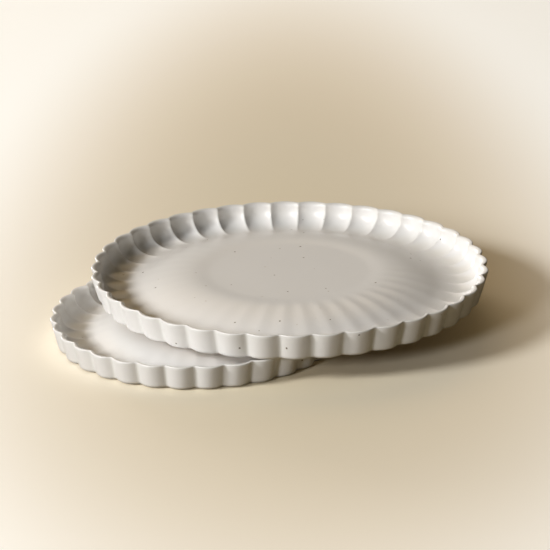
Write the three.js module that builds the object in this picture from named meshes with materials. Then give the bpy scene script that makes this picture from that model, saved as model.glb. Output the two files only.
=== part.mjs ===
// Two stoneware plates of one design, stacked: a small plate that stands on the table and a large plate
// that lies on its rim, set off to one side. Each is one pressed piece with a scalloped upright wall.
// Millimetres, +Z up, origin at the centre of the small plate's base, +X the way the large plate overhangs.

import * as THREE from 'three';

// Large plate
const LARGE_DIAMETER = 220; // across two opposite flutes, at the lip
const LARGE_HEIGHT = 15; // from its base to its lip
const LARGE_FLUTES = 40;
const LARGE_FLUTE_DEPTH = 2.8; // from the crease between two flutes to the crown of a flute
const LARGE_WALL_LEAN = 3.2; // how far the wall leans out between its foot and its lip
const LARGE_CENTRE_DIAMETER = 96; // the smooth disc inside the floor's flutes
const LARGE_DOME_RISE = 6.5; // how far the floor rises from the gutter along the wall to the rim of that disc
const LARGE_TURN = -0.9; // degrees that the plate is turned about its own axis

// Small plate
const SMALL_DIAMETER = 160;
const SMALL_HEIGHT = 14;
const SMALL_FLUTES = 32;
const SMALL_FLUTE_DEPTH = 2.6;
const SMALL_WALL_LEAN = 2.6;
const SMALL_CENTRE_DIAMETER = 66;
const SMALL_DOME_RISE = 4;
const SMALL_TURN = 0.6;

// Both plates
const WALL_THICKNESS = 3; // at the lip, which is rounded over
const FLOOR_THICKNESS = 4.3; // in the gutter, where the floor is thinnest
const FOOT_ROUND = 3; // radius where the base turns up into the wall
const COVE_RUN = 10; // how far the inside of the wall sweeps in before it meets the gutter
const GUTTER_WIDTH = 3; // from the foot of the cove to where the floor starts to rise
const CENTRE_STEP = 10; // width of the soft step round the disc in the middle
const CENTRE_SINK = 0.4; // how far that disc lies below the step's upper edge
const FLOOR_FLUTE_DEPTH = 0.4; // the shallow rays that carry the flutes on across the floor
const FLOOR_FLUTE_RUN_OUT = 9; // from the foot of the cove to where a ray is deepest

// The stack
const OVERHANG = 60; // from the small plate's axis to the large plate's
const SEAT_GAP = 0.3; // between the small plate's lip and the large plate's base

// Facets
const STEPS_PER_FLUTE = 4;
const FOOT_STEPS = 2;
const LIP_STEPS = 2; // up the outside of the lip, and again down its inside
const COVE_STEPS = 4;
const DOME_STEPS = 6; // the first step climbs out of the gutter, the others level off

const GLAZE = { color: 0xe4dfd5, roughness: 0.35, metalness: 0 };

const large = {
  name: 'large_plate',
  diameter: LARGE_DIAMETER,
  height: LARGE_HEIGHT,
  flutes: LARGE_FLUTES,
  fluteDepth: LARGE_FLUTE_DEPTH,
  wallLean: LARGE_WALL_LEAN,
  centreDiameter: LARGE_CENTRE_DIAMETER,
  domeRise: LARGE_DOME_RISE,
  turn: LARGE_TURN,
};

const small = {
  name: 'small_plate',
  diameter: SMALL_DIAMETER,
  height: SMALL_HEIGHT,
  flutes: SMALL_FLUTES,
  fluteDepth: SMALL_FLUTE_DEPTH,
  wallLean: SMALL_WALL_LEAN,
  centreDiameter: SMALL_CENTRE_DIAMETER,
  domeRise: SMALL_DOME_RISE,
  turn: SMALL_TURN,
};

// Points of an elliptical arc in the section plane, both ends included.
function arc(centreRadius, centreHeight, run, rise, fromAngle, toAngle, steps) {
  const points = [];
  for (let step = 0; step <= steps; step += 1) {
    const angle = fromAngle + ((toAngle - fromAngle) * step) / steps;
    points.push({
      radius: centreRadius + run * Math.cos(angle),
      height: centreHeight + rise * Math.sin(angle),
    });
  }
  return points;
}

// Half section of a plate's floor through a crease, from just inside the cove, up the dome to the rim of the
// middle disc, and down onto that disc. The wall's flutes die out in the gutter and carry on as shallow rays.
function floorSection(plate, coveRadius) {
  const domeFoot = coveRadius - GUTTER_WIDTH;
  const crestRadius = (plate.centreDiameter + CENTRE_STEP) / 2;
  const crestHeight = FLOOR_THICKNESS + plate.domeRise;
  const rayLength = coveRadius - crestRadius;
  const climb = 1 / DOME_STEPS;
  const points = [];
  for (let step = 1; step <= DOME_STEPS; step += 1) {
    const share = step / DOME_STEPS;
    const radius = domeFoot + (crestRadius - domeFoot) * share;
    const inward = coveRadius - radius;
    const start = Math.min(1, inward / FLOOR_FLUTE_RUN_OUT);
    const rest = Math.max(0, inward - FLOOR_FLUTE_RUN_OUT) / (rayLength - FLOOR_FLUTE_RUN_OUT);
    points.push({
      radius,
      height: crestHeight - (plate.domeRise * (1 - share) ** 2) / (1 - climb),
      bulge: plate.fluteDepth * (1 - start),
      dip: FLOOR_FLUTE_DEPTH * start * (1 - rest),
    });
  }
  const disc = { height: crestHeight - CENTRE_SINK, bulge: 0, dip: 0 };
  return [...points, { radius: crestRadius - CENTRE_STEP, ...disc }, { radius: 0, ...disc }];
}

// Half section of a plate through a crease, from the middle of its base, up the wall and over the lip, to
// the middle of its floor. At a flute's crown a point moves out by its bulge and down by its dip.
function plateSection(plate) {
  const creaseRadius = plate.diameter / 2 - plate.fluteDepth;
  const footRadius = creaseRadius - plate.wallLean;
  const leanAngle = Math.atan2(plate.wallLean, plate.height);
  const lipRound = WALL_THICKNESS / 2;
  const lipRadius = creaseRadius - lipRound;
  const lipHeight = plate.height - lipRound;
  const coveRadius = creaseRadius - WALL_THICKNESS - COVE_RUN;

  const foot = arc(
    footRadius - FOOT_ROUND, FOOT_ROUND, FOOT_ROUND, FOOT_ROUND, -Math.PI / 2, -leanAngle, FOOT_STEPS,
  );
  const lipOuter = arc(lipRadius, lipHeight, lipRound, lipRound, -leanAngle, Math.PI / 2, LIP_STEPS);
  const lipInner = arc(lipRadius, lipHeight, lipRound, lipRound, Math.PI / 2, Math.PI, LIP_STEPS);
  const cove = arc(coveRadius, lipHeight, COVE_RUN, lipHeight - FLOOR_THICKNESS, 0, -Math.PI / 2, COVE_STEPS);
  const wall = [...foot, ...lipOuter, ...lipInner.slice(1), ...cove.slice(1)];

  return [
    { radius: 0, height: 0, bulge: 0, dip: 0 },
    ...wall.map((point) => ({ ...point, bulge: plate.fluteDepth, dip: 0 })),
    ...floorSection(plate, coveRadius),
  ];
}

// The section turned about the plate's axis, with each flute bowed out between its two creases.
function plateGeometry(plate) {
  const section = plateSection(plate);
  const outline = section.map((point) => new THREE.Vector2(point.radius, point.height));
  const columns = plate.flutes * STEPS_PER_FLUTE;
  const geometry = new THREE.LatheGeometry(outline, columns);
  const position = geometry.getAttribute('position');
  for (let index = 0; index < position.count; index += 1) {
    const point = section[index % section.length];
    const column = Math.floor(index / section.length);
    const angle = (2 * Math.PI * column) / columns;
    const across = (2 * (column % STEPS_PER_FLUTE)) / STEPS_PER_FLUTE - 1;
    const bow = 1 - across * across;
    const radius = point.radius + point.bulge * bow;
    const height = point.height - point.dip * bow;
    position.setXYZ(index, radius * Math.sin(angle), height, radius * Math.cos(angle));
  }
  geometry.rotateX(Math.PI / 2);
  geometry.computeVertexNormals();
  return geometry;
}

function plateMesh(plate) {
  const mesh = new THREE.Mesh(plateGeometry(plate), new THREE.MeshStandardMaterial(GLAZE));
  mesh.name = plate.name;
  mesh.rotation.z = THREE.MathUtils.degToRad(plate.turn);
  return mesh;
}

const smallPlate = plateMesh(small);
const largePlate = plateMesh(large);
largePlate.position.set(OVERHANG, 0, SMALL_HEIGHT + SEAT_GAP);

const stack = new THREE.Group();
stack.add(smallPlate, largePlate);

export default stack;
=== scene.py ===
"""Two stacked scalloped stoneware plates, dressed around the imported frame.

A small plate stands on the table, and a large plate of the same design lies on its rim, set off to one
side. Each is modelled here as one finely fluted mesh that stands for the frame's solid, with a satin
off-white glaze over a speckled clay body and a bare base. Lengths are in metres and angles in degrees,
+Z is up, and all of it lies in the frame's own coordinates.
"""

import logging
import math
from dataclasses import dataclass
from enum import Enum

import bmesh
import bpy
from mathutils import Matrix, Vector, noise


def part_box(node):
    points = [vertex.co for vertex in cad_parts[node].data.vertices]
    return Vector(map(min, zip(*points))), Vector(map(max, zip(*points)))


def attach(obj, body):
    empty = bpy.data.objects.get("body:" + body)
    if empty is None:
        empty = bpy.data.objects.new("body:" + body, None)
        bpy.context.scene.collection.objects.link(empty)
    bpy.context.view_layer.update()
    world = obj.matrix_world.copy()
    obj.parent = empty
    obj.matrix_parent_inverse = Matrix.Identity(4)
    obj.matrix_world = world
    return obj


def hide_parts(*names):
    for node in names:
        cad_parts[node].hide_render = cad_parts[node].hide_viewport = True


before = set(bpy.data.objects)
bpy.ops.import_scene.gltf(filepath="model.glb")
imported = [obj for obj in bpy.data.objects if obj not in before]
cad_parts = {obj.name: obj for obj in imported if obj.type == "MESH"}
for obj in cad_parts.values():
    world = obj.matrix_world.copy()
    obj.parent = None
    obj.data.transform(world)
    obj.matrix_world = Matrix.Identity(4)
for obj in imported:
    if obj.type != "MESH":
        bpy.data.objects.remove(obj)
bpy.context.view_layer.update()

LOG = logging.getLogger("plates")
MM = 0.001
UP = (0.0, 0.0, 1.0)
WELD_DISTANCE = 0.001 * MM
GLAZE_ATTRIBUTE = "glaze_depth"
RAY_LAYER = "ray_depth"

Colour = tuple[float, float, float]
Place = tuple[float, float]


def blend(start: float, end: float, share: float) -> float:
    """Goes evenly from start, at a share of 0, to end, at a share of 1."""
    return start + (end - start) * share


def smooth(share: float) -> float:
    """Eases a share from 0 to 1, and holds it outside that range."""
    held = min(1.0, max(0.0, share))
    return held * held * (3 - 2 * held)


def arc(middle: Place, radius: float, start: float, end: float, steps: int) -> list[Place]:
    """Gives evenly spaced points along part of a circle in the plane of a plate's half section.

    Args:
        middle: The circle's middle, as a radius from the plate's axis and a height.
        radius: The circle's own radius.
        start: The first point's angle in radians, 0 straight out and positive upwards.
        end: The last point's angle.
        steps: How many steps lie between the first point and the last.

    Returns:
        The points, each a radius from the plate's axis and a height.
    """
    angles = [blend(start, end, step / steps) for step in range(steps + 1)]
    return [(middle[0] + radius * math.cos(angle), middle[1] + radius * math.sin(angle)) for angle in angles]


class Surface(Enum):
    """What covers a face of a plate. The value is its material slot on the mesh."""

    GLAZED = 0
    BARE = 1


class Flute(Enum):
    """The cross-section of a flute between its two creases."""

    BOWED = "a parabola with softened creases, for the outside of the wall"
    SCOOPED = "part of a circle, for the inside of the wall"
    RIPPLED = "a soft wave, for the rays on the floor"

    def bow(self, across: float) -> float:
        """Gives the share of the flute's depth at a place across it.

        Args:
            across: The place, -1 and 1 at the creases and 0 at the crown.

        Returns:
            The share, 0 at the creases and 1 at the crown.
        """
        if self is Flute.SCOOPED:
            # The circle turns by 45 degrees from crown to crease. This is the square of that angle's sine.
            bend = 0.5
            edge = math.sqrt(1 - bend)
            return (math.sqrt(1 - bend * across * across) - edge) / (1 - edge)
        if self is Flute.RIPPLED:
            return (1 - across * across) ** 2
        turning = 0.85
        if abs(across) < turning:
            return 1 - across * across / turning
        return (1 - abs(across)) ** 2 / (1 - turning)


class NodeSheet:
    """Adds nodes to one node tree and links them."""

    def __init__(self, tree: bpy.types.NodeTree) -> None:
        """Starts on an emptied tree.

        Args:
            tree: The material, world or group tree to fill.
        """
        self.tree = tree
        self.tree.nodes.clear()

    def add(self, kind: str, **settings: object) -> bpy.types.Node:
        """Adds one node.

        Args:
            kind: The node's type, without a leading "ShaderNode".
            settings: Properties to set on the node.

        Returns:
            The new node.
        """
        prefix = "" if kind.startswith("NodeGroup") else "ShaderNode"
        node = self.tree.nodes.new(prefix + kind)
        for name, value in settings.items():
            setattr(node, name, value)
        return node

    def feed(self, value: object, socket: bpy.types.NodeSocket) -> None:
        """Links an output socket to an input, or sets a plain value on it."""
        if isinstance(value, bpy.types.NodeSocket):
            self.tree.links.new(value, socket)
        else:
            socket.default_value = value

    def math(self, operation: str, *values: object) -> bpy.types.NodeSocket:
        """Adds a Math node.

        Args:
            operation: Blender's name of the operation.
            values: Its inputs, each a number or an output socket.

        Returns:
            The node's output.
        """
        node = self.add("Math", operation=operation)
        for socket, value in zip(node.inputs, values):
            self.feed(value, socket)
        return node.outputs["Value"]

    def fade(self, value: object, start: object, end: object) -> bpy.types.NodeSocket:
        """Adds a smooth fade from 1 at start to 0 at end.

        Args:
            value: What is measured.
            start: Where the fade starts.
            end: Where it has ended.

        Returns:
            The faded mask.
        """
        node = self.add("MapRange", interpolation_type="SMOOTHSTEP")
        self.feed(value, node.inputs["Value"])
        self.feed(start, node.inputs["From Min"])
        self.feed(end, node.inputs["From Max"])
        node.inputs["To Min"].default_value = 1.0
        node.inputs["To Max"].default_value = 0.0
        return node.outputs["Result"]

    def spread(self, value: object, low: float, high: float) -> bpy.types.NodeSocket:
        """Adds a linear map of a mask from 0..1 to low..high.

        Args:
            value: The mask.
            low: What 0 becomes.
            high: What 1 becomes.

        Returns:
            The mapped value.
        """
        node = self.add("MapRange")
        self.feed(value, node.inputs["Value"])
        node.inputs["To Min"].default_value = low
        node.inputs["To Max"].default_value = high
        return node.outputs["Result"]

    def tint(self, mask: object, under: object, over: Colour) -> bpy.types.NodeSocket:
        """Adds a mix of one colour over another.

        Args:
            mask: How much of the upper colour shows.
            under: The lower colour, or the socket that holds it.
            over: The upper colour.

        Returns:
            The mixed colour.
        """
        node = self.add("Mix", data_type="RGBA")
        inputs = {socket.identifier: socket for socket in node.inputs}
        outputs = {socket.identifier: socket for socket in node.outputs}
        self.feed(mask, inputs["Factor_Float"])
        self.feed(under if isinstance(under, bpy.types.NodeSocket) else (*under, 1.0), inputs["A_Color"])
        self.feed((*over, 1.0), inputs["B_Color"])
        return outputs["Result_Color"]

    def group(self, tree: bpy.types.NodeTree, **values: object) -> bpy.types.Node:
        """Places a node group and feeds its inputs.

        Args:
            tree: The group.
            values: Its inputs by name, each a number or an output socket.

        Returns:
            The group node.
        """
        node = self.add("Group", node_tree=tree)
        for name, value in values.items():
            self.feed(value, node.inputs[name])
        return node


class GroupSheet(NodeSheet):
    """A shader node group with a Vector input, number inputs and number outputs."""

    def __init__(self, name: str, inputs: tuple[str, ...], outputs: tuple[str, ...]) -> None:
        """Makes the group and its sockets.

        Args:
            name: The group's name.
            inputs: Names of its number inputs.
            outputs: Names of its number outputs.
        """
        tree = bpy.data.node_groups.new(name, "ShaderNodeTree")
        tree.interface.new_socket("Vector", in_out="INPUT", socket_type="NodeSocketVector")
        for socket_name in inputs:
            tree.interface.new_socket(socket_name, in_out="INPUT", socket_type="NodeSocketFloat")
        for socket_name in outputs:
            tree.interface.new_socket(socket_name, in_out="OUTPUT", socket_type="NodeSocketFloat")
        super().__init__(tree)
        self.enter = self.add("NodeGroupInput").outputs
        self.leave = self.add("NodeGroupOutput").inputs


def iron_speckle_group() -> bpy.types.NodeTree:
    """Makes the effect of iron grains in the clay: ragged dark dots, each with a soft stain round it.

    Returns:
        A group with inputs Vector, Spacing, Radius and Stain, and outputs Grain and Halo.
    """
    sheet = GroupSheet("iron_speckle", ("Spacing", "Radius", "Stain"), ("Grain", "Halo"))
    spacing, radius = sheet.enter["Spacing"], sheet.enter["Radius"]
    smallest_share = 0.35
    core_share = 0.5
    raggedness = 0.9
    tatters_per_radius = 0.6
    noise_middle = (0.5, 0.5, 0.5)

    rough = sheet.add("TexNoise", noise_dimensions="3D")
    sheet.feed(sheet.enter["Vector"], rough.inputs["Vector"])
    sheet.feed(sheet.math("DIVIDE", tatters_per_radius, radius), rough.inputs["Scale"])
    centred = sheet.add("VectorMath", operation="SUBTRACT")
    sheet.feed(rough.outputs["Color"], centred.inputs[0])
    sheet.feed(noise_middle, centred.inputs[1])
    shift = sheet.add("VectorMath", operation="SCALE")
    sheet.feed(centred.outputs["Vector"], shift.inputs[0])
    sheet.feed(sheet.math("MULTIPLY", radius, raggedness), shift.inputs["Scale"])
    ragged = sheet.add("VectorMath", operation="ADD")
    sheet.feed(sheet.enter["Vector"], ragged.inputs[0])
    sheet.feed(shift.outputs["Vector"], ragged.inputs[1])

    cells = sheet.add("TexVoronoi", voronoi_dimensions="3D", feature="F1")
    sheet.feed(ragged.outputs["Vector"], cells.inputs["Vector"])
    sheet.feed(sheet.math("DIVIDE", 1.0, spacing), cells.inputs["Scale"])
    distance = sheet.math("MULTIPLY", cells.outputs["Distance"], spacing)
    draw = sheet.add("SeparateColor")
    sheet.feed(cells.outputs["Color"], draw.inputs["Color"])
    own_radius = sheet.math("MULTIPLY", radius, sheet.spread(draw.outputs["Red"], smallest_share, 1.0))
    core = sheet.math("MULTIPLY", own_radius, core_share)
    stain = sheet.math("MULTIPLY", own_radius, sheet.enter["Stain"])
    sheet.feed(sheet.fade(distance, core, own_radius), sheet.leave["Grain"])
    sheet.feed(sheet.fade(distance, core, stain), sheet.leave["Halo"])
    return sheet.tree


def mottle_group() -> bpy.types.NodeTree:
    """Makes the effect of uneven tone: broad clouds and a fine grain.

    Returns:
        A group with inputs Vector, Cloud and Fine, which are sizes, and outputs Clouds and Grain.
    """
    sheet = GroupSheet("mottle", ("Cloud", "Fine"), ("Clouds", "Grain"))
    for size, detail, output in (("Cloud", 2.0, "Clouds"), ("Fine", 3.0, "Grain")):
        tone = sheet.add("TexNoise", noise_dimensions="3D")
        sheet.feed(sheet.enter["Vector"], tone.inputs["Vector"])
        sheet.feed(sheet.math("DIVIDE", 1.0, sheet.enter[size]), tone.inputs["Scale"])
        tone.inputs["Detail"].default_value = detail
        sheet.feed(tone.outputs["Fac"], sheet.leave[output])
    return sheet.tree


@dataclass(frozen=True)
class Effects:
    """The node groups that the finishes share."""

    speckle: bpy.types.NodeTree
    mottle: bpy.types.NodeTree


@dataclass(frozen=True)
class ClayFinish:
    """What the glaze and the bare clay share: clouds, iron grains, a fine relief and an uneven sheen.

    Attributes:
        name: The material's name.
        colour: The colour between the clouds.
        cloud_colour: The colour of the clouds.
        grain_colour: The colour of the iron grains.
        stain_colour: The colour of the stain round each grain.
        stain_strength: How much of the stain shows.
        stain_reach: How far a stain reaches, in radii of its grain.
        roughness: The lowest and the highest roughness.
        cloud_size: The size of the clouds.
        fine_size: The size of the fine relief's grain.
        speckle_spacing: How far the iron grains are apart.
        speckle_radius: The radius of the largest iron grains.
        relief_height: The height of the fine relief.
        relief_strength: How much of it shows.
    """

    name: str
    colour: Colour
    cloud_colour: Colour
    grain_colour: Colour
    stain_colour: Colour
    stain_strength: float
    stain_reach: float
    roughness: tuple[float, float]
    cloud_size: float
    fine_size: float
    speckle_spacing: float
    speckle_radius: float
    relief_height: float
    relief_strength: float

    def material(self, effects: Effects) -> bpy.types.Material:
        """Makes the finish.

        Args:
            effects: The shared node groups.

        Returns:
            The material.
        """
        material = bpy.data.materials.new(self.name)
        material.use_nodes = True
        sheet = NodeSheet(material.node_tree)
        place = sheet.add("TexCoord").outputs["Object"]
        mottle = sheet.group(effects.mottle, Vector=place, Cloud=self.cloud_size, Fine=self.fine_size)
        speckle = sheet.group(
            effects.speckle,
            Vector=place,
            Spacing=self.speckle_spacing,
            Radius=self.speckle_radius,
            Stain=self.stain_reach,
        )
        colour = sheet.tint(mottle.outputs["Clouds"], self.colour, self.cloud_colour)
        colour = self.coat(sheet, colour)
        stain = sheet.math("MULTIPLY", speckle.outputs["Halo"], self.stain_strength)
        colour = sheet.tint(stain, colour, self.stain_colour)
        colour = sheet.tint(speckle.outputs["Grain"], colour, self.grain_colour)

        relief = sheet.add("Bump")
        relief.inputs["Strength"].default_value = self.relief_strength
        relief.inputs["Distance"].default_value = self.relief_height
        sheet.feed(mottle.outputs["Grain"], relief.inputs["Height"])

        shader = sheet.add("BsdfPrincipled")
        sheet.feed(colour, shader.inputs["Base Color"])
        sheet.feed(sheet.spread(mottle.outputs["Grain"], *self.roughness), shader.inputs["Roughness"])
        sheet.feed(relief.outputs["Normal"], shader.inputs["Normal"])
        sheet.feed(shader.outputs["BSDF"], sheet.add("OutputMaterial").inputs["Surface"])
        return material

    def coat(self, sheet: NodeSheet, colour: bpy.types.NodeSocket) -> bpy.types.NodeSocket:
        """Changes the clouded colour where a coat lies thin or deep. Without a coat it stays as it is.

        Args:
            sheet: The material's nodes. Not used here.
            colour: The clouded colour.

        Returns:
            The colour with its coat.
        """
        return colour


@dataclass(frozen=True)
class SpeckledGlaze(ClayFinish):
    """A satin off-white glaze, thinner over edges, pooled in hollows, with iron grains showing through.

    Attributes:
        thin_colour: The colour where the glaze lies thin.
        thin_strength: How much of that colour shows.
        pooled_colour: The colour where the glaze is pooled.
        pooled_strength: How much of that colour shows.
    """

    name: str = "speckled_glaze"
    colour: Colour = (0.85, 0.84, 0.825)
    cloud_colour: Colour = (0.825, 0.81, 0.79)
    grain_colour: Colour = (0.045, 0.032, 0.022)
    stain_colour: Colour = (0.42, 0.33, 0.23)
    stain_strength: float = 0.45
    stain_reach: float = 1.8
    roughness: tuple[float, float] = (0.26, 0.37)
    cloud_size: float = 28 * MM
    fine_size: float = 2.6 * MM
    speckle_spacing: float = 8.8 * MM
    speckle_radius: float = 0.66 * MM
    relief_height: float = 0.05 * MM
    relief_strength: float = 0.5
    thin_colour: Colour = (0.80, 0.765, 0.70)
    thin_strength: float = 0.35
    pooled_colour: Colour = (0.79, 0.785, 0.75)
    pooled_strength: float = 0.6

    def coat(self, sheet: NodeSheet, colour: bpy.types.NodeSocket) -> bpy.types.NodeSocket:
        """Tints the glaze where it lies thin and where it is pooled.

        Args:
            sheet: The material's nodes.
            colour: The clouded colour.

        Returns:
            The colour with both tints.
        """
        depth = sheet.add("Attribute", attribute_name=GLAZE_ATTRIBUTE).outputs["Fac"]
        thin = sheet.fade(depth, -1.0, 0.0)
        pooled = sheet.math("SUBTRACT", 1.0, sheet.fade(depth, 0.0, 1.0))
        colour = sheet.tint(sheet.math("MULTIPLY", thin, self.thin_strength), colour, self.thin_colour)
        return sheet.tint(sheet.math("MULTIPLY", pooled, self.pooled_strength), colour, self.pooled_colour)


@dataclass(frozen=True)
class BareClay(ClayFinish):
    """The unglazed base: matt buff clay with a sandy grain and its iron grains plain to see."""

    name: str = "bare_clay"
    colour: Colour = (0.60, 0.48, 0.35)
    cloud_colour: Colour = (0.52, 0.40, 0.28)
    grain_colour: Colour = (0.10, 0.06, 0.035)
    stain_colour: Colour = (0.33, 0.22, 0.13)
    stain_strength: float = 0.5
    stain_reach: float = 1.5
    roughness: tuple[float, float] = (0.78, 0.95)
    cloud_size: float = 40 * MM
    fine_size: float = 0.8 * MM
    speckle_spacing: float = 5 * MM
    speckle_radius: float = 0.5 * MM
    relief_height: float = 0.12 * MM
    relief_strength: float = 0.6


@dataclass(frozen=True)
class GlazeDepth:
    """How the glaze lies over the forms of a plate, from -1, thin, to 1, pooled.

    Attributes:
        outer_crease: In a crease outside the wall.
        outer_crown: On a crown outside the wall.
        lip_crease: In a crease where the lip starts to turn in.
        lip_top: On top of the lip, and down to where the ridges start.
        scoop_foot: In the foot of a scoop.
        ray: In the middle of a ray.
    """

    outer_crease: float = 0.7
    outer_crown: float = -0.1
    lip_crease: float = 0.4
    lip_top: float = -0.8
    scoop_foot: float = 0.7
    ray: float = 0.2


@dataclass(frozen=True)
class SectionPoint:
    """A point of a plate's half section, taken through a crease between two flutes.

    At a flute's crown the point stands out by its bulge and sinks by its dip, and by its ray where the
    rays are plain. The scoop goes from 0, a bowed flute, to 1, a scooped one. The two glaze values say
    how the glaze lies at the crease and at the crown, from -1, thin, to 1, pooled.
    """

    radius: float
    height: float
    bulge: float = 0.0
    dip: float = 0.0
    ray: float = 0.0
    scoop: float = 0.0
    glaze_at_crease: float = 0.0
    glaze_at_crown: float = 0.0

    def bow(self, across: float) -> float:
        """Gives the share of the flute's depth at a place across it.

        Args:
            across: The place, -1 and 1 at the creases and 0 at the crown.

        Returns:
            The share, 0 at the creases and 1 at the crown.
        """
        return blend(Flute.BOWED.bow(across), Flute.SCOOPED.bow(across), self.scoop)


@dataclass
class ScallopedPlate:
    """One plate: a flat base, a fluted upright wall with a rounded lip, and a domed floor in a gutter.

    Inside the wall, each flute is a scoop with a steep back and a level foot, between two ridges that
    sweep down less steeply and die out on the dome.

    Attributes:
        node: The frame's node that the plate stands for.
        body: The frame's body that it rides on.
        diameter: The size across the crowns of the flutes, at the lip.
        flutes: How many flutes there are.
        flute_depth: How far a crown stands out from the creases, outside the wall.
        wall_lean: How far the wall leans out over its height.
        centre_diameter: The size of the sunk disc, to the middle of the step round it.
        crest_height: The height of the floor where the dome ends at that step.
        turn: How far the plate is turned from a crease at -Y.
        wall_thickness: From the creases outside to the ridges inside, at the lip.
        foot_round: The radius of the rounded foot.
        lip_edge: The radius of the lip's outer edge.
        lip_fall: How far the lip's inner side falls.
        lip_scoop: How far a scoop's crown stands out from the ridges, at the lip.
        ridge_run: How far a ridge runs in as it sweeps down.
        ridge_foot: The height of a ridge's end.
        scoop_run: How far a scoop runs in as it sweeps down.
        scoop_foot: The height of a scoop's foot.
        scoop_squareness: How square a scoop's sweep is. At 2 it is part of an ellipse.
        dome_climb: The share of the dome over which its slope grows. After that it levels off.
        centre_step: The width of the step round the sunk disc.
        centre_sink: The depth of the disc.
        ray_depth: The depth of a ray where the rays are plainest.
        ray_rest: The share of that depth that is left on the far side.
        ray_side: The direction of the side where they are plainest, from +X.
        ray_run_out: The length over which a scoop turns into a ray.
        ray_end: The length over which a ray fades at the disc.
        glaze_line: How far the glaze reaches under the foot.
        glaze: How the glaze lies over the plate's forms.
        wobble: How far the wall wanders in and out.
        wobble_size: The length over which it does.
        wobble_upright: How much faster it wanders with height than along the wall.
        steps_per_flute: How many faces lie side by side in a flute.
    """

    node: str
    body: str
    diameter: float
    flutes: int
    flute_depth: float
    wall_lean: float
    centre_diameter: float
    crest_height: float
    turn: float
    wall_thickness: float = 3.0 * MM
    foot_round: float = 3.0 * MM
    lip_edge: float = 0.6 * MM
    lip_fall: float = 2.2 * MM
    lip_scoop: float = 2.2 * MM
    ridge_run: float = 11.7 * MM
    ridge_foot: float = 3.6 * MM
    scoop_run: float = 12.0 * MM
    scoop_foot: float = 2.7 * MM
    scoop_squareness: float = 2.6
    dome_climb: float = 0.3
    centre_step: float = 11.0 * MM
    centre_sink: float = 0.4 * MM
    ray_depth: float = 0.29 * MM
    ray_rest: float = 0.2
    ray_side: float = -98.5
    ray_run_out: float = 9.0 * MM
    ray_end: float = 16.0 * MM
    glaze_line: float = 4.0 * MM
    glaze: GlazeDepth = GlazeDepth()
    wobble: float = 0.12 * MM
    wobble_size: float = 25.0 * MM
    wobble_upright: float = 2.0
    steps_per_flute: int = 24

    def __post_init__(self) -> None:
        """Takes the plate's place and height from the frame, and works out the radii of its section."""
        low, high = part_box(self.node)
        self.centre = Vector(((low.x + high.x) / 2, (low.y + high.y) / 2, low.z))
        self.height = high.z - low.z
        self.crease_radius = self.diameter / 2 - self.flute_depth
        self.foot_radius = self.crease_radius - self.wall_lean
        self.flat_radius = self.foot_radius - self.foot_round
        self.ridge_radius = self.crease_radius - self.wall_thickness
        self.ridge_end = self.ridge_radius - self.ridge_run
        self.scoop_end = self.ridge_radius + self.lip_scoop - self.scoop_run
        self.crest_radius = (self.centre_diameter + self.centre_step) / 2
        self.lean_angle = math.atan2(self.wall_lean, self.height)

    def base(self) -> list[SectionPoint]:
        """Gives the bare base, from its middle to where the glaze starts."""
        bare_radius = self.flat_radius - self.glaze_line
        return [
            SectionPoint(0.0, 0.0),
            SectionPoint(bare_radius / 2, 0.0),
            SectionPoint(bare_radius, 0.0, self.flute_depth),
        ]

    def outer_wall(self) -> list[SectionPoint]:
        """Gives the foot, the leaning outside of the wall and the outer half of the lip.

        Returns:
            The points from the base up to the top of the lip.
        """
        foot_steps, wall_steps, lip_steps = 8, 6, 6
        foot_middle = (self.flat_radius, self.foot_round)
        foot = arc(foot_middle, self.foot_round, -math.pi / 2, -self.lean_angle, foot_steps)
        lip_middle = (self.crease_radius - self.lip_edge, self.height - self.lip_edge)
        lip = arc(lip_middle, self.lip_edge, -self.lean_angle, math.pi / 2, lip_steps)
        (foot_radius, foot_height), (lip_radius, lip_height) = foot[-1], lip[0]
        wall = []
        for step in range(1, wall_steps):
            share = step / wall_steps
            wall.append((blend(foot_radius, lip_radius, share), blend(foot_height, lip_height, share)))
        points = [
            SectionPoint(
                *place,
                bulge=self.flute_depth,
                glaze_at_crease=self.glaze.outer_crease,
                glaze_at_crown=self.glaze.outer_crown,
            )
            for place in foot + wall
        ]
        for step, place in enumerate(lip):
            share = step / lip_steps
            points.append(
                SectionPoint(
                    *place,
                    bulge=self.lip_bulge(share / 2),
                    scoop=share / 2,
                    glaze_at_crease=blend(self.glaze.lip_crease, self.glaze.lip_top, share),
                    glaze_at_crown=blend(0.0, self.glaze.lip_top, share),
                )
            )
        return points

    def lip_bulge(self, share: float) -> float:
        """Gives how far the lip's crown stands out, from the lip's outer side, 0, to its inner side, 1."""
        return blend(self.flute_depth, self.lip_scoop, share)

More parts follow.
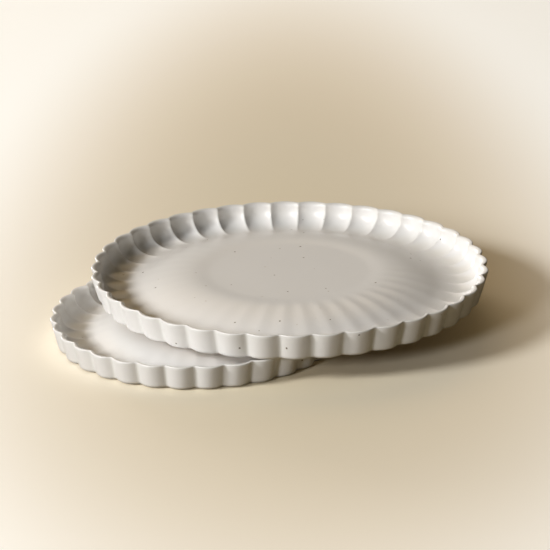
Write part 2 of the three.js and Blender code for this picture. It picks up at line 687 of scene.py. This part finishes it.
    def inner_wall(self) -> list[SectionPoint]:
        """Gives the inner half of the lip, then the ridge and the scoop that sweep down to the floor.

        Returns:
            The points from just past the top of the lip to the ridge's end.
        """
        points = []
        lip_steps, sweep_steps = 8, 18
        lip_width = self.wall_thickness - self.lip_edge
        lip_height = self.height - self.lip_fall
        for step in range(1, lip_steps + 1):
            share = step / lip_steps
            angle = math.pi / 2 * (1 + share)
            points.append(
                SectionPoint(
                    radius=self.ridge_radius + lip_width + lip_width * math.cos(angle),
                    height=lip_height + self.lip_fall * math.sin(angle),
                    bulge=self.lip_bulge((1 + share) / 2),
                    scoop=(1 + share) / 2,
                    glaze_at_crease=self.glaze.lip_top,
                    glaze_at_crown=blend(self.glaze.lip_top, 0.0, share),
                )
            )
        power = 2 / self.scoop_squareness
        for step in range(1, sweep_steps + 1):
            share = step / sweep_steps
            outward, down = math.cos(math.pi / 2 * share), math.sin(math.pi / 2 * share)
            radius = self.ridge_end + self.ridge_run * outward
            height = blend(lip_height, self.ridge_foot, down)
            scoop_radius = self.scoop_end + self.scoop_run * outward**power
            scoop_height = blend(lip_height, self.scoop_foot, down**power)
            points.append(
                SectionPoint(
                    radius,
                    height,
                    bulge=scoop_radius - radius,
                    dip=height - scoop_height,
                    scoop=1.0,
                    glaze_at_crease=blend(self.glaze.lip_top, 0.0, share),
                    glaze_at_crown=blend(0.0, self.glaze.scoop_foot, share),
                )
            )
        return points

    def floor(self) -> list[SectionPoint]:
        """Gives the floor: the dome with the rays that carry the flutes on, and the sunk disc.

        Returns:
            The points from just inside the ridge's end to the middle of the floor.
        """
        points = []
        dome_steps, step_steps, disc_steps = 32, 8, 4
        dome_length = self.ridge_end - self.crest_radius
        for step in range(1, dome_steps + 1):
            inward = dome_length * step / dome_steps
            radius = self.ridge_end - inward
            start = smooth(inward / self.ray_run_out)
            points.append(
                SectionPoint(
                    radius,
                    height=blend(self.ridge_foot, self.crest_height, self.dome_share(radius)),
                    bulge=(self.scoop_end - self.ridge_end) * (1 - start),
                    dip=(self.ridge_foot - self.scoop_foot) * (1 - start),
                    ray=self.ray_depth * start * self.ray_share(radius),
                    scoop=1.0,
                    glaze_at_crown=blend(self.glaze.scoop_foot, self.glaze.ray, start),
                )
            )
        for step in range(1, step_steps + 1):
            share = step / step_steps
            radius = self.crest_radius - self.centre_step * share
            height = self.crest_height - self.centre_sink * smooth(share)
            points.append(SectionPoint(radius, height, ray=self.ray_depth * self.ray_share(radius)))
        disc_radius, disc_height = points[-1].radius, points[-1].height
        for step in range(1, disc_steps + 1):
            points.append(SectionPoint(disc_radius * (1 - step / disc_steps), disc_height))
        return points

    def dome_share(self, radius: float) -> float:
        """Gives the share of the dome's rise at a radius: a climb from the gutter, then a long levelling."""
        share = (self.ridge_end - radius) / (self.ridge_end - self.crest_radius)
        if share < self.dome_climb:
            return share * share / self.dome_climb
        return 1 - (1 - share) ** 2 / (1 - self.dome_climb)

    def ray_share(self, radius: float) -> float:
        """Gives the share of a ray's depth at a radius: less as it narrows, none inside the disc's edge."""
        return radius / self.ridge_end * smooth((radius - self.crest_radius) / self.ray_end + 0.5)

    def build(self, glaze: bpy.types.Material, clay: bpy.types.Material) -> bpy.types.Object:
        """Models the plate, dresses it and sets it in the frame.

        Args:
            glaze: What covers the plate.
            clay: What its base shows.

        Returns:
            The finished piece.
        """
        shape = bmesh.new()
        self.turn_flute(shape)
        bmesh.ops.spin(
            shape,
            geom=shape.verts[:] + shape.edges[:] + shape.faces[:],
            axis=UP,
            angle=math.tau * (self.flutes - 1) / self.flutes,
            steps=self.flutes - 1,
            use_duplicate=True,
        )
        bmesh.ops.remove_doubles(shape, verts=shape.verts, dist=WELD_DISTANCE)
        bmesh.ops.recalc_face_normals(shape, faces=shape.faces)
        bmesh.ops.rotate(shape, verts=shape.verts, matrix=Matrix.Rotation(math.radians(self.turn), 3, "Z"))
        self.sink_rays(shape)
        self.unsettle(shape)
        bmesh.ops.translate(shape, verts=shape.verts, vec=self.centre)

        mesh = bpy.data.meshes.new(f"{self.node}_glazed")
        shape.to_mesh(mesh)
        shape.free()
        mesh.materials.append(glaze)
        mesh.materials.append(clay)
        piece = bpy.data.objects.new(f"{self.node}_glazed", mesh)
        bpy.context.scene.collection.objects.link(piece)
        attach(piece, self.body)
        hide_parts(self.node)
        return piece

    def turn_flute(self, shape: bmesh.types.BMesh) -> None:
        """Models the slice of the plate under one flute, notes how its glaze lies and which faces are bare.

        Args:
            shape: The mesh to fill.
        """
        section = [*self.base(), *self.outer_wall(), *self.inner_wall(), *self.floor()]
        station = shape.verts.layers.int.new("station")
        # The float layers are fetched once both are made, because making one can move the other.
        shape.verts.layers.float.new(GLAZE_ATTRIBUTE)
        shape.verts.layers.float.new(RAY_LAYER)
        glaze = shape.verts.layers.float[GLAZE_ATTRIBUTE]
        ray = shape.verts.layers.float[RAY_LAYER]
        outline = []
        for index, point in enumerate(section):
            vert = shape.verts.new((0.0, -point.radius, point.height))
            vert[station] = index
            outline.append(vert)
        for start, end in zip(outline, outline[1:]):
            shape.edges.new((start, end))
        slice_angle = math.tau / self.flutes
        bmesh.ops.spin(
            shape,
            geom=shape.verts[:] + shape.edges[:],
            axis=UP,
            angle=slice_angle,
            steps=self.steps_per_flute,
        )
        for vert in shape.verts:
            point = section[vert[station]]
            if point.radius == 0.0:
                continue
            angle = math.atan2(vert.co.x, -vert.co.y)
            across = 2 * angle / slice_angle - 1
            bow = point.bow(across)
            vert.co += Vector((math.sin(angle), -math.cos(angle), 0.0)) * point.bulge * bow
            vert.co.z -= point.dip * bow
            vert[ray] = point.ray * Flute.RIPPLED.bow(across)
            vert[glaze] = blend(point.glaze_at_crease, point.glaze_at_crown, bow)
        bare_stations = len(self.base())
        for face in shape.faces:
            face.smooth = True
            is_base = all(vert[station] < bare_stations for vert in face.verts)
            face.material_index = (Surface.BARE if is_base else Surface.GLAZED).value
        shape.verts.layers.int.remove(station)

    def sink_rays(self, shape: bmesh.types.BMesh) -> None:
        """Sinks the rays of the floor, plain on one side and nearly filled with glaze on the other.

        Args:
            shape: The whole plate, centred on its axis.
        """
        ray = shape.verts.layers.float[RAY_LAYER]
        side = math.radians(self.ray_side)
        plain = Vector((math.cos(side), math.sin(side), 0.0))
        for vert in shape.verts:
            out = Vector((vert.co.x, vert.co.y, 0.0)).normalized()
            share = blend(self.ray_rest, 1.0, max(0.0, out.dot(plain)) ** 2)
            vert.co.z -= vert[ray] * share
        shape.verts.layers.float.remove(ray)

    def unsettle(self, shape: bmesh.types.BMesh) -> None:
        """Moves the wall in and out by a hair, as a pressed plate dries unevenly.

        Args:
            shape: The whole plate, centred on its axis.
        """
        for vert in shape.verts:
            out = Vector((vert.co.x, vert.co.y, 0.0))
            share = smooth((out.length - self.ridge_end) / self.ridge_run)
            if share > 0:
                spot = Vector((vert.co.x, vert.co.y, self.wobble_upright * vert.co.z))
                wander = noise.noise(spot / self.wobble_size)
                vert.co += out.normalized() * self.wobble * wander * share


@dataclass(frozen=True)
class StudioCamera:
    """A long lens from a low three-quarter angle. Its focal length and sensor are in millimetres."""

    target: Vector = Vector((64.97, 22.25, 14.3)) * MM
    distance: float = 1200 * MM
    azimuth: float = -33.5
    elevation: float = 20.18
    roll: float = -0.66
    focal_length: float = 138.66
    sensor_width: float = 36.0

    def build(self) -> bpy.types.Object:
        """Makes the camera and gives it to the scene.

        Returns:
            The camera.
        """
        lens = bpy.data.cameras.new("studio_camera")
        lens.lens = self.focal_length
        lens.sensor_width = self.sensor_width
        camera = bpy.data.objects.new("studio_camera", lens)
        turn = Matrix.Rotation(math.radians(self.azimuth), 4, "Z")
        tilt = Matrix.Rotation(math.radians(90 - self.elevation), 4, "X")
        roll = Matrix.Rotation(math.radians(self.roll), 4, "Z")
        back = Matrix.Translation((0.0, 0.0, self.distance))
        camera.matrix_world = Matrix.Translation(self.target) @ turn @ tilt @ roll @ back
        bpy.context.scene.collection.objects.link(camera)
        bpy.context.scene.camera = camera
        return camera


@dataclass(frozen=True)
class SoftBox:
    """An oval soft lamp, placed by its direction from what it lights.

    Attributes:
        name: The lamp's name.
        azimuth: Its direction round the target, from +X.
        elevation: Its direction above the table.
        distance: How far it is from the target.
        width: Its size from side to side.
        height: Its size from bottom to top.
        power: Its power in watts.
        colour: The colour of its light.
    """

    name: str
    azimuth: float
    elevation: float
    distance: float
    width: float
    height: float
    power: float
    colour: Colour

    def build(self, target: Vector) -> bpy.types.Object:
        """Makes the lamp.

        Args:
            target: What it points at.

        Returns:
            The lamp.
        """
        data = bpy.data.lights.new(self.name, "AREA")
        data.shape = "ELLIPSE"
        data.size = self.width
        data.size_y = self.height
        data.energy = self.power
        data.color = self.colour
        lamp = bpy.data.objects.new(self.name, data)
        azimuth, elevation = math.radians(self.azimuth), math.radians(self.elevation)
        away = Vector(
            (
                math.cos(azimuth) * math.cos(elevation),
                math.sin(azimuth) * math.cos(elevation),
                math.sin(elevation),
            )
        )
        lamp.location = target + away * self.distance
        lamp.rotation_euler = away.to_track_quat("Z", "Y").to_euler()
        bpy.context.scene.collection.objects.link(lamp)
        return lamp


KEY_LAMP = SoftBox(
    name="key_lamp",
    azimuth=172.0,
    elevation=27.5,
    distance=3000 * MM,
    width=800 * MM,
    height=650 * MM,
    power=68.0,
    colour=(1.0, 0.995, 0.985),
)
SECOND_LAMP = SoftBox(
    name="second_lamp",
    azimuth=200.0,
    elevation=20.0,
    distance=3000 * MM,
    width=700 * MM,
    height=600 * MM,
    power=30.0,
    colour=(1.0, 0.995, 0.985),
)
RIM_LAMP = SoftBox(
    name="rim_lamp",
    azimuth=91.5,
    elevation=9.0,
    distance=3000 * MM,
    width=800 * MM,
    height=500 * MM,
    power=20.0,
    colour=(1.0, 0.97, 0.93),
)
TOP_LAMP = SoftBox(
    name="top_lamp",
    azimuth=75.0,
    elevation=43.0,
    distance=3000 * MM,
    width=3000 * MM,
    height=2000 * MM,
    power=16.0,
    colour=(1.0, 0.72, 0.38),
)
FRONT_LAMP = SoftBox(
    name="front_lamp",
    azimuth=256.5,
    elevation=8.0,
    distance=2500 * MM,
    width=1200 * MM,
    height=500 * MM,
    power=2.5,
    colour=(1.0, 0.86, 0.62),
)


@dataclass(frozen=True)
class Studio:
    """The table, which is deeper in colour in a pool round the plates, the lamps and a dim warm room.

    A key lamp stands at the left and a weaker one at the front left, with a low lamp behind, a dim warm
    one high at the back and another low in front. The pool's deeper colour is painted shade. The table's
    glow is painted light for the camera alone: golden round the pool, where it tints the table's shadows,
    and pale farther out. Other rays see no glow and a darker paint.

    Attributes:
        table_radius: The table's radius.
        table_drop: How far the table lies below the plates' base.
        table_segments: How many sides its outline has.
        table_roughness: How matt its paint is.
        table_specular: How much the paint shines.
        table_shaded_near: The paint's colour in the pool. It is painted shade, deeper round the plates.
        table_far: The colour of paint and glow far from the plates.
        table_bounce: The paint's colour for every ray but the camera's own.
        table_shadow_gold: The colour of the glow in and round the pool. It is painted light that tints the
            table's shadows golden.
        table_painted_glow: The strength of the painted glow far from the plates.
        lift_power: How sharply the glow falls towards the plates.
        gold_reach: How far the golden part of the glow reaches out.
        pool_centre: The middle of the pool.
        pool_turn: How far the pool is turned, so that its length points away from the camera.
        pool_width: Its reach to either side.
        pool_back: Its reach to the back.
        pool_front: Its reach to the front.
        lamp_target: What the lamps point at.
        lamps: The lamps.
        room_colour: The colour of the room's light.
        room_strength: How strong that light is.
        backdrop_colour: What the camera and low reflections see of the room.
        backdrop_fade: The heights over which the backdrop fades from the reflections.
    """

    table_radius: float = 8.0
    table_drop: float = 0.1 * MM
    table_segments: int = 96
    table_roughness: float = 0.9
    table_specular: float = 0.1
    table_shaded_near: Colour = (0.95, 0.84, 0.62)
    table_far: Colour = (0.95, 0.94, 0.90)
    table_bounce: Colour = (0.28, 0.22, 0.12)
    table_shadow_gold: Colour = (1.0, 0.66, 0.28)
    table_painted_glow: float = 0.42
    lift_power: float = 2.0
    gold_reach: float = 1.6
    pool_centre: Vector = Vector((42.0, -28.0, 0.0)) * MM
    pool_turn: float = -33.5
    pool_width: float = 242 * MM
    pool_back: float = 1040 * MM
    pool_front: float = 435 * MM
    lamp_target: Vector = Vector((60.0, 0.0, 20.0)) * MM
    lamps: tuple[SoftBox, ...] = (KEY_LAMP, SECOND_LAMP, RIM_LAMP, TOP_LAMP, FRONT_LAMP)
    room_colour: Colour = (1.0, 0.76, 0.38)
    room_strength: float = 0.015
    backdrop_colour: Colour = (0.45, 0.43, 0.39)
    backdrop_fade: tuple[float, float] = (0.3, 0.85)

    def build(self) -> None:
        """Makes the table, the lamps and the room."""
        self.table()
        for lamp in self.lamps:
            lamp.build(self.lamp_target)
        self.room()

    def table(self) -> bpy.types.Object:
        """Makes the table top, a broad disc that is paler away from the plates.

        Returns:
            The table.
        """
        shape = bmesh.new()
        bmesh.ops.create_circle(shape, cap_ends=True, radius=self.table_radius, segments=self.table_segments)
        bmesh.ops.translate(shape, verts=shape.verts, vec=(0.0, 0.0, -self.table_drop))
        mesh = bpy.data.meshes.new("table")
        shape.to_mesh(mesh)
        shape.free()
        mesh.materials.append(self.table_material())
        table = bpy.data.objects.new("table", mesh)
        bpy.context.scene.collection.objects.link(table)
        return table

    def table_material(self) -> bpy.types.Material:
        """Makes the table's matt cream paint and its glow.

        Returns:
            The material.
        """
        material = bpy.data.materials.new("table_paint")
        material.use_nodes = True
        sheet = NodeSheet(material.node_tree)
        shade_pool = self.pool(sheet)
        seen = sheet.add("LightPath").outputs["Is Camera Ray"]
        shader = sheet.add("BsdfPrincipled")
        shader.inputs["Roughness"].default_value = self.table_roughness
        shader.inputs["Specular IOR Level"].default_value = self.table_specular
        # Painted shade: the paint deepens to tan in the pool round the plates.
        paint = sheet.tint(shade_pool, self.table_far, self.table_shaded_near)
        unseen = sheet.math("SUBTRACT", 1.0, seen)
        sheet.feed(sheet.tint(unseen, paint, self.table_bounce), shader.inputs["Base Color"])
        # Painted light: a glow for the camera alone pales the table away from the plates and tints its
        # shadows golden round the pool.
        golden = sheet.math("MINIMUM", sheet.math("MULTIPLY", shade_pool, self.gold_reach), 1.0)
        sheet.feed(sheet.tint(golden, self.table_far, self.table_shadow_gold), shader.inputs["Emission Color"])
        away = sheet.math("POWER", sheet.math("SUBTRACT", 1.0, shade_pool), self.lift_power)
        glow_lift = sheet.math("MULTIPLY", sheet.math("MULTIPLY", away, self.table_painted_glow), seen)
        sheet.feed(glow_lift, shader.inputs["Emission Strength"])
        sheet.feed(shader.outputs["BSDF"], sheet.add("OutputMaterial").inputs["Surface"])
        return material

    def pool(self, sheet: NodeSheet) -> bpy.types.NodeSocket:
        """Masks the pool round the plates.

        Args:
            sheet: The table material's nodes.

        Returns:
            The mask, 1 in the middle of the pool and 0 outside it.
        """
        centre = sheet.add("Mapping", vector_type="TEXTURE")
        sheet.feed(sheet.add("TexCoord").outputs["Object"], centre.inputs["Vector"])
        centre.inputs["Location"].default_value = self.pool_centre
        centre.inputs["Rotation"].default_value = (0.0, 0.0, math.radians(self.pool_turn))
        place = sheet.add("SeparateXYZ")
        sheet.feed(centre.outputs["Vector"], place.inputs["Vector"])
        across = sheet.math("DIVIDE", place.outputs["X"], self.pool_width)
        behind = sheet.math("DIVIDE", place.outputs["Y"], self.pool_back)
        before = sheet.math("DIVIDE", place.outputs["Y"], -self.pool_front)
        along = sheet.math("MAXIMUM", behind, before)
        squares = [sheet.math("MULTIPLY", way, way) for way in (across, along)]
        return sheet.fade(sheet.math("SQRT", sheet.math("ADD", *squares)), 0.0, 1.0)

    def room(self) -> None:
        """Fills the room with dim warm light, and shows a pale backdrop to the camera and in the gloss."""
        world = bpy.data.worlds.new("room")
        world.use_nodes = True
        sheet = NodeSheet(world.node_tree)
        path = sheet.add("LightPath").outputs
        direction = sheet.add("SeparateXYZ")
        sheet.feed(sheet.add("NewGeometry").outputs["Incoming"], direction.inputs["Vector"])
        height = sheet.math("MULTIPLY", direction.outputs["Z"], -1.0)
        glossy = sheet.math("MULTIPLY", path["Is Glossy Ray"], sheet.fade(height, *self.backdrop_fade))
        direct = sheet.math("MAXIMUM", path["Is Camera Ray"], path["Is Transmission Ray"])
        light = sheet.add("Background")
        light.inputs["Color"].default_value = (*self.room_colour, 1.0)
        light.inputs["Strength"].default_value = self.room_strength
        backdrop = sheet.add("Background")
        backdrop.inputs["Color"].default_value = (*self.backdrop_colour, 1.0)
        either = sheet.add("MixShader")
        sheet.feed(sheet.math("MAXIMUM", direct, glossy), either.inputs["Fac"])
        sheet.feed(light.outputs["Background"], either.inputs[1])
        sheet.feed(backdrop.outputs["Background"], either.inputs[2])
        sheet.feed(either.outputs["Shader"], sheet.add("OutputWorld").inputs["Surface"])
        bpy.context.scene.world = world


def plates() -> list[ScallopedPlate]:
    """Gives the two plates, the lower one first."""
    small = ScallopedPlate(
        node="small_plate",
        body="lower_plate",
        diameter=160 * MM,
        flutes=32,
        flute_depth=2.4 * MM,
        wall_lean=2.6 * MM,
        centre_diameter=66 * MM,
        crest_height=8.3 * MM,
        turn=0.6,
    )
    large = ScallopedPlate(
        node="large_plate",
        body="upper_plate",
        diameter=220 * MM,
        flutes=40,
        flute_depth=2.5 * MM,
        wall_lean=3.2 * MM,
        centre_diameter=96 * MM,
        crest_height=10.8 * MM,
        turn=-0.9,
    )
    return [small, large]


def main() -> None:
    """Sets up the studio, builds both plates and notes how many flutes and faces each has."""
    logging.basicConfig(level=logging.INFO, format="%(message)s")
    bpy.context.scene.view_settings.view_transform = "Standard"
    StudioCamera().build()
    Studio().build()
    effects = Effects(speckle=iron_speckle_group(), mottle=mottle_group())
    glaze = SpeckledGlaze().material(effects)
    clay = BareClay().material(effects)
    for plate in plates():
        piece = plate.build(glaze, clay)
        LOG.info("%s: %d flutes, %d faces", piece.name, plate.flutes, len(piece.data.polygons))


if __name__ == "__main__":
    main()
